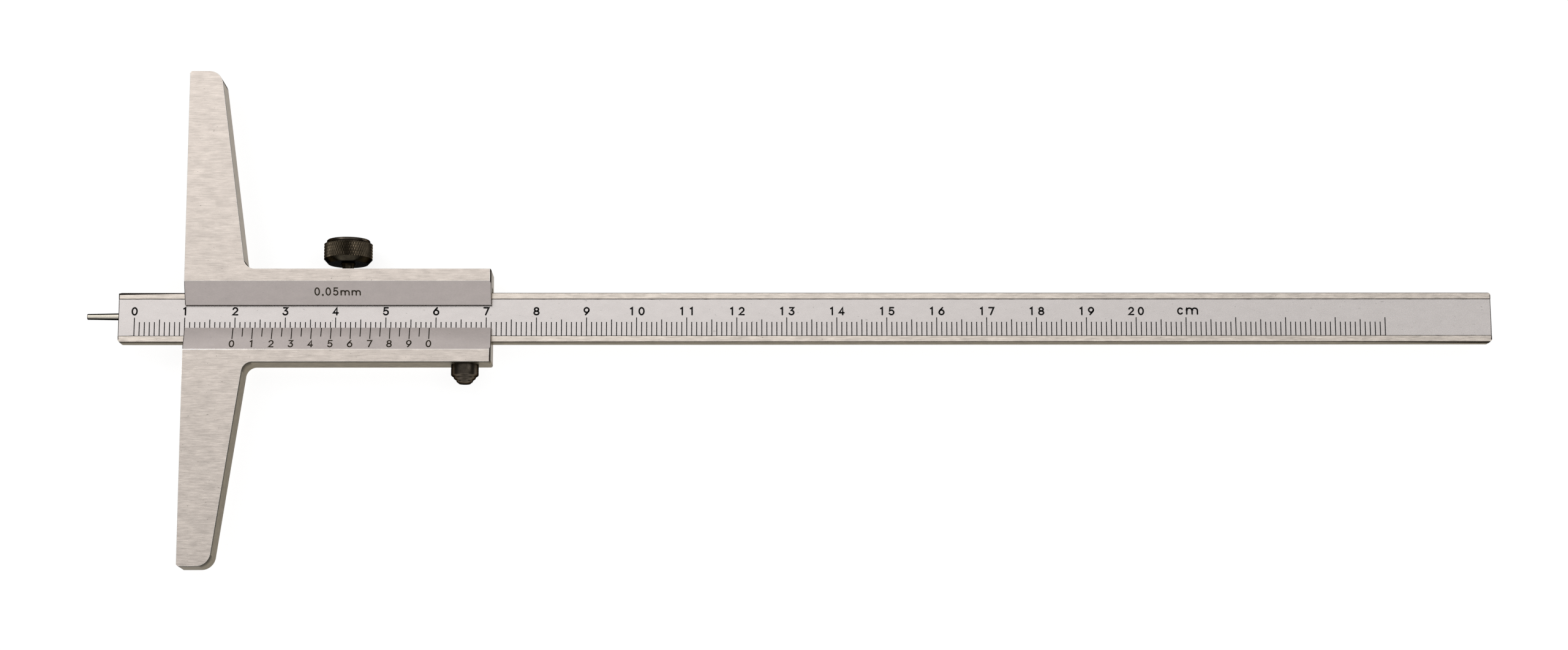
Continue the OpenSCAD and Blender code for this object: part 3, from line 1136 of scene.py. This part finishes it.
@dataclass(frozen=True)
class Lathe:
    """Turns shapes around an axis along Y."""

    axis_x: float
    axis_z: float

    @classmethod
    def over(cls, node: str) -> "Lathe":
        """Makes a lathe with its axis through the middle of a CAD node."""
        low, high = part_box(node)
        return cls((low.x + high.x) / 2, (low.z + high.z) / 2)

    def ring(self, work: Work, radius: float, y: float, columns: int, cut: Callable | None) -> list:
        """Adds the points of one ring.

        Args:
            work: Mesh that they are added to.
            radius: Radius of the ring, or 0 for a single point on the axis.
            y: Its place along the axis.
            columns: Number of points.
            cut: Gives how much deeper a point lies, from its share of a turn and its Y.

        Returns:
            The points, with a single point repeated.
        """
        if radius == 0:
            return [work.verts.new((self.axis_x, y, self.axis_z))] * columns
        points = []
        for share in (column / columns for column in range(columns)):
            angle = 2 * math.pi * share
            reach = radius - (cut(share, y) if cut else 0.0)
            place = (self.axis_x + reach * math.sin(angle), y, self.axis_z + reach * math.cos(angle))
            points.append(work.verts.new(place))
        return points

    def turn(
        self,
        name: str,
        profile: list[Point],
        finish: Finish,
        columns: int = 96,
        cut: Callable[[float, float], float] | None = None,
    ) -> Solid:
        """Turns a profile, with two triangles between the points of a cut surface.

        Args:
            name: Name of the object.
            profile: Radius and Y of each ring, from the lowest to the highest.
            finish: The object's finish.
            columns: Number of points round each ring.
            cut: Gives how much deeper than its ring a point lies, from its share of a turn and its Y.

        Returns:
            The new object.
        """
        work = bmesh.new()
        rings = [self.ring(work, radius, y, columns, cut) for radius, y in profile]
        for row, (below, above) in enumerate(zip(rings, rings[1:])):
            for column in range(columns):
                after = (column + 1) % columns
                corners = [below[column], below[after], above[after], above[column]]
                if cut:
                    shift = (row + column) % 2
                    corners = corners[shift:] + corners[:shift]
                    work.faces.new(corners[:3])
                    work.faces.new([corners[0], *corners[2:]])
                else:
                    work.faces.new(list(dict.fromkeys(corners)))
        bmesh.ops.recalc_face_normals(work, faces=work.faces)
        return new_solid(name, work, finish)


@dataclass
class ClampScrew:
    """Knurled knob and screw, turned in one piece."""

    knurl_h: float = 3.05 * MM
    chamfer_w: float = 0.82 * MM
    chamfer_h: float = 0.94 * MM
    shoulder_w: float = 0.52 * MM
    shoulder_h: float = 0.28 * MM
    rim_h: float = 0.4 * MM
    crown_h: float = 0.15 * MM
    neck_d: float = 2.3 * MM
    flare_d: float = 2.9 * MM
    flare_h: float = 0.6 * MM
    point_d: float = 1.8 * MM
    edge: float = 0.06 * MM
    knurls: int = 57
    knurl_rows: int = 10
    knurl_depth: float = 0.18 * MM
    sharp_deg: float = 40.0

    def __post_init__(self) -> None:
        """Takes the screw's place, length and width from the frame."""
        low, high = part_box("clamp_screw")
        self.radius = (high.z - low.z) / 2
        self.point_y = low.y
        self.top_y = high.y
        self.knurl_top = high.y - self.crown_h - self.rim_h - self.shoulder_h
        self.knurl_foot = self.knurl_top - self.knurl_h

    def groove(self, share: float, y: float) -> float:
        """Depth of the knurl's crossing grooves.

        Args:
            share: Share of a turn round the axis.
            y: Height along the axis.

        Returns:
            The depth in metres at that point.
        """
        climb = (y - self.knurl_foot) / self.knurl_h * self.knurl_rows / 4
        crossing = (self.knurls * share + climb, self.knurls * share - climb)
        return self.knurl_depth * max(abs(2 * (u % 1) - 1) for u in crossing)

    def foot_profile(self) -> list[Point]:
        """Gives the radius and Y of the rings from the screw's point to below the knurl.

        Returns:
            The rings.
        """
        under_y = self.knurl_foot - self.chamfer_h
        return [
            (0, self.point_y),
            (self.point_d / 2, self.point_y),
            (self.neck_d / 2, self.point_y + (self.neck_d - self.point_d) / 2),
            (self.neck_d / 2, under_y - self.flare_h),
            (0.55 * self.neck_d, under_y - 0.4 * self.flare_h),
            (self.flare_d / 2, under_y),
            (self.radius - self.chamfer_w - self.edge, under_y),
            (self.radius - self.chamfer_w, under_y + self.edge),
            (self.radius - self.edge, self.knurl_foot - self.edge / 2),
            (self.radius - self.edge / 2, self.knurl_foot + self.edge / 2),
            (self.radius - self.knurl_depth, self.knurl_foot + 2 * self.edge),
            (0, self.knurl_foot + 2 * self.edge),
        ]

    def crown_profile(self) -> list[Point]:
        """Gives the radius and Y of the rings from above the knurl to the knob's top.

        Returns:
            The rings.
        """
        edge = self.edge
        rim_r = self.radius - self.shoulder_w
        rim_y = self.knurl_top + self.shoulder_h
        return [
            (0, self.knurl_top - 2 * edge),
            (self.radius - self.knurl_depth, self.knurl_top - 2 * edge),
            (self.radius - edge, self.knurl_top - edge / 4),
            (self.radius - edge, self.knurl_top + edge / 4),
            (rim_r + edge, rim_y - edge / 2),
            (rim_r, rim_y + edge / 2),
            (rim_r, rim_y + self.rim_h - edge),
            (rim_r - edge / 2, rim_y + self.rim_h),
            (rim_r - self.crown_h, self.top_y - edge / 3),
            (rim_r - 2 * self.crown_h, self.top_y),
            (0, self.top_y),
        ]

    def build(self) -> list[Solid]:
        """Makes the knob, its knurled band and the screw below it.

        Returns:
            The pieces.
        """
        lathe = Lathe.over("clamp_screw")
        heights = [self.knurl_h * row / self.knurl_rows for row in range(self.knurl_rows + 1)]
        knurl = [(self.radius, self.knurl_foot + height) for height in heights]
        band = lathe.turn("knob_knurl", knurl, RUBBED_KNURL, columns=4 * self.knurls, cut=self.groove)
        # The foot's darker black is painted shade
        foot = lathe.turn("screw_and_knob_foot", self.foot_profile(), BLACK_UNDERSIDE)
        crown = lathe.turn("knob_crown", self.crown_profile(), BLACK_OXIDE)
        pieces = [band, foot, crown]
        for piece in pieces:
            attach(piece, "clamp")
        for piece in (foot, crown):
            smoothed(piece, self.sharp_deg)
        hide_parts("clamp_screw")
        return pieces


@dataclass
class ThumbRest:
    """Black stud with a ringed nose, turned with small rounds on its rings."""

    body_h: float = 1.95 * MM
    nose_h: float = 1.9 * MM
    end_d: float = 2.2 * MM
    rings: int = 3
    band_share: float = 0.3
    spigot_d: float = 3.0 * MM
    spigot_h: float = 2.5 * MM
    soft: float = 0.07 * MM
    sharp_deg: float = 40.0

    def profile(self, radius: float, seat_y: float, end_y: float) -> list[Point]:
        """Gives the radius and Y of the rings from the nose to the spigot.

        Args:
            radius: Radius of the stud.
            seat_y: Y of its seat on the slider.
            end_y: Y of the spigot's end.

        Returns:
            The rings.
        """
        ring_h = self.nose_h / self.rings
        ring_w = (radius - self.end_d / 2) / self.rings
        rising = [(0, seat_y - self.body_h - self.nose_h)]
        for ring in reversed(range(self.rings)):
            wide = radius - ring * ring_w
            foot = seat_y - self.body_h - ring * ring_h
            band_y = foot - self.band_share * ring_h
            rising.append((wide - ring_w, foot - ring_h))
            rising.append((wide - self.soft, band_y - self.soft))
            rising.append((wide, band_y + self.soft / 2))
            if ring:
                rising.append((wide, foot - 0.02 * ring_h))
        return rising + [
            (radius, seat_y - self.soft),
            (radius - self.soft, seat_y),
            (self.spigot_d / 2, seat_y),
            (self.spigot_d / 2, end_y),
            (0, end_y),
        ]

    def build(self) -> list[Solid]:
        """Turns the stud.

        Returns:
            The pieces.
        """
        low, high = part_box("thumb_rest")
        profile = self.profile((high.x - low.x) / 2, high.y - self.spigot_h, high.y)
        stud = Lathe.over("thumb_rest").turn("thumb_rest_turned", profile, BLACK_OXIDE)
        smoothed(stud, self.sharp_deg)
        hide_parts("thumb_rest")
        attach(stud, "bridge")
        return [stud]


class SmallParts:
    """Depth pin and gib strip, which keep their CAD solids."""

    def build(self, nodes: dict[str, Solid]) -> list[Solid]:
        """Dresses the pin and the strip.

        Args:
            nodes: CAD nodes by name.

        Returns:
            The pieces.
        """
        # The pin's bright band and dark sides are a painted reflection
        dress(nodes["depth_pin"], [PIN_STEEL])
        dress(nodes["gib_strip"], [STRIP_STEEL])
        return [nodes["depth_pin"], nodes["gib_strip"]]


@dataclass(frozen=True)
class PhotoCamera:
    """Camera where the photographer's stood, nearly straight above the gauge."""

    place_mm: tuple[float, float, float] = (107.605, -117.415, 650.0)
    turn_deg: tuple[float, float, float] = (10.183, -1.005, -0.204)
    lens_mm: float = 75.31
    sensor_mm: float = 36.0

    def build(self) -> None:
        """Makes the camera and looks through it."""
        data = bpy.data.cameras.new("photo_camera")
        data.lens = self.lens_mm
        data.sensor_width = self.sensor_mm
        data.sensor_fit = "HORIZONTAL"
        camera = bpy.data.objects.new("photo_camera", data)
        camera.location = Vector(self.place_mm) * MM
        camera.rotation_euler = Euler([math.radians(turn) for turn in self.turn_deg], "XYZ")
        bpy.context.scene.collection.objects.link(camera)
        bpy.context.scene.camera = camera


@dataclass(frozen=True)
class SoftLight:
    """Lit area of the room, with soft edges across X, Y and Z of the direction.

    Each edge is a pair of numbers: where the light starts, and where it is full.
    """

    gain: float
    x: tuple[Point, ...] = ()
    y: tuple[Point, ...] = ()
    z: tuple[Point, ...] = ()

    def strength(self, sheet: NodeSheet, toward: bpy.types.Node, beside: float = 0.0) -> Socket:
        """Adds nodes for the light's strength in each direction.

        Args:
            sheet: Node tree of the world.
            toward: Node with the direction's X, Y and Z.
            beside: Strength outside the area.

        Returns:
            The strength.
        """
        parts = zip("XYZ", (self.x, self.y, self.z))
        edges = [sheet.step(toward.outputs[axis], *ends) for axis, pairs in parts for ends in pairs]
        return sheet.between(sheet.combine("MULTIPLY", *edges), beside, self.gain)


@dataclass(frozen=True)
class Studio:
    """White table under a soft box, with a window at the gauge's lower side and a strip at its right."""

    table_z: float = -1.72 * MM
    table_side: float = 6.0
    table_grey: float = 0.8
    shadow_grey: float = 0.3
    table_glow: float = 0.85
    room: SoftLight = SoftLight(0.575, x=((-0.97, -0.6), (0.9, 0.35)), z=((0.02, 0.45),))
    beside_room: float = 0.1
    soft_box: SoftLight = SoftLight(0.58, x=((0.2, 0.02), (-0.7, -0.35)), y=((0.148, 0.186), (0.9, 0.45)))
    window: SoftLight = SoftLight(1.3, y=((-0.78, -0.85), (-0.97, -0.9)))
    strip: SoftLight = SoftLight(1.0, x=((0.42, 0.47), (0.82, 0.76)), y=((-0.3, -0.05), (0.5, 0.3)))
    lamp_place: tuple[float, float, float] = (-0.5, 0.5, 0.75)
    lamp_aim: tuple[float, float, float] = (0.06, 0, 0)
    lamp_side: float = 0.35
    lamp_watts: float = 1.0

    def build(self) -> None:
        """Makes the table, the world's light and one soft lamp."""
        self.table()
        self.world()
        self.lamp()
        bpy.context.scene.view_settings.view_transform = "Standard"

    def table(self) -> None:
        """Makes the white table, which keeps the gauge's soft shadow."""
        work = bmesh.new()
        bmesh.ops.create_grid(work, x_segments=8, y_segments=8, size=self.table_side / 2)
        table = new_solid("table", work)
        table.location.z = self.table_z
        material = bpy.data.materials.new("white_table")
        material.use_nodes = True
        sheet = NodeSheet(material.node_tree)
        rays = sheet.add("ShaderNodeLightPath")
        kinds = ("Is Camera Ray", "Is Glossy Ray", "Is Transmission Ray")
        seen = sheet.combine("MAXIMUM", *(rays.outputs[kind] for kind in kinds))
        plain, shadow = (
            sheet.add("ShaderNodeBsdfDiffuse", Color=(grey, grey, grey, 1))
            for grey in (self.table_grey, self.shadow_grey)
        )
        glow = sheet.add("ShaderNodeEmission", Color=(1, 1, 1, 1), Strength=self.table_glow)
        white = sheet.add("ShaderNodeAddShader")
        sheet.join(shadow.outputs["BSDF"], white.inputs[0])
        sheet.join(glow.outputs["Emission"], white.inputs[1])
        mix = sheet.add("ShaderNodeMixShader")
        sheet.join(seen, mix.inputs["Fac"])
        sheet.join(plain.outputs["BSDF"], mix.inputs[1])
        sheet.join(white.outputs["Shader"], mix.inputs[2])
        output = sheet.add("ShaderNodeOutputMaterial")
        sheet.join(mix.outputs["Shader"], output.inputs["Surface"])
        table.data.materials.append(material)

    def world(self) -> None:
        """Makes the soft light all round, with the soft box, the window and the strip in it."""
        world = bpy.data.worlds.new("soft_room")
        bpy.context.scene.world = world
        world.use_nodes = True
        sheet = NodeSheet(world.node_tree)
        toward = sheet.add("ShaderNodeSeparateXYZ")
        sheet.join(sheet.add("ShaderNodeTexCoord").outputs["Generated"], toward.inputs["Vector"])
        room = self.room.strength(sheet, toward, self.beside_room)
        lights = (light.strength(sheet, toward) for light in (self.soft_box, self.window, self.strip))
        strength = sheet.combine("ADD", room, *lights)
        background = sheet.add("ShaderNodeBackground", Color=(1, 1, 1, 1))
        sheet.join(strength, background.inputs["Strength"])
        output = sheet.add("ShaderNodeOutputWorld")
        sheet.join(background.outputs["Background"], output.inputs["Surface"])

    def lamp(self) -> None:
        """Makes the soft lamp that gives the black knob its highlights."""
        data = bpy.data.lights.new("soft_lamp", "AREA")
        data.shape = "DISK"
        data.size = self.lamp_side
        data.energy = self.lamp_watts
        lamp = bpy.data.objects.new("soft_lamp", data)
        lamp.location = self.lamp_place
        aim = Vector(self.lamp_aim) - lamp.location
        lamp.rotation_euler = aim.to_track_quat("-Z", "Y").to_euler()
        bpy.context.scene.collection.objects.link(lamp)


def empty_scene() -> None:
    """Removes what a new Blender file holds."""
    for thing in list(bpy.data.objects):
        bpy.data.objects.remove(thing)


def report(pieces: Iterable[Solid]) -> None:
    """Logs each piece with its number of faces."""
    for piece in pieces:
        log.info("%s: %d faces", piece.name, len(piece.data.polygons))


def main() -> None:
    """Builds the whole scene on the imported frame."""
    logging.basicConfig(level=logging.INFO, format="%(name)s: %(message)s")
    empty_scene()
    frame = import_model()
    nodes = frame["nodes"]
    PhotoCamera().build()
    Studio().build()
    report(Bridge().build(nodes["bridge"]))
    report(Rail().build(nodes["rail"]))
    report(SmallParts().build(nodes))
    report(ClampScrew().build())
    report(ThumbRest().build())


if __name__ == "__main__":
    main()
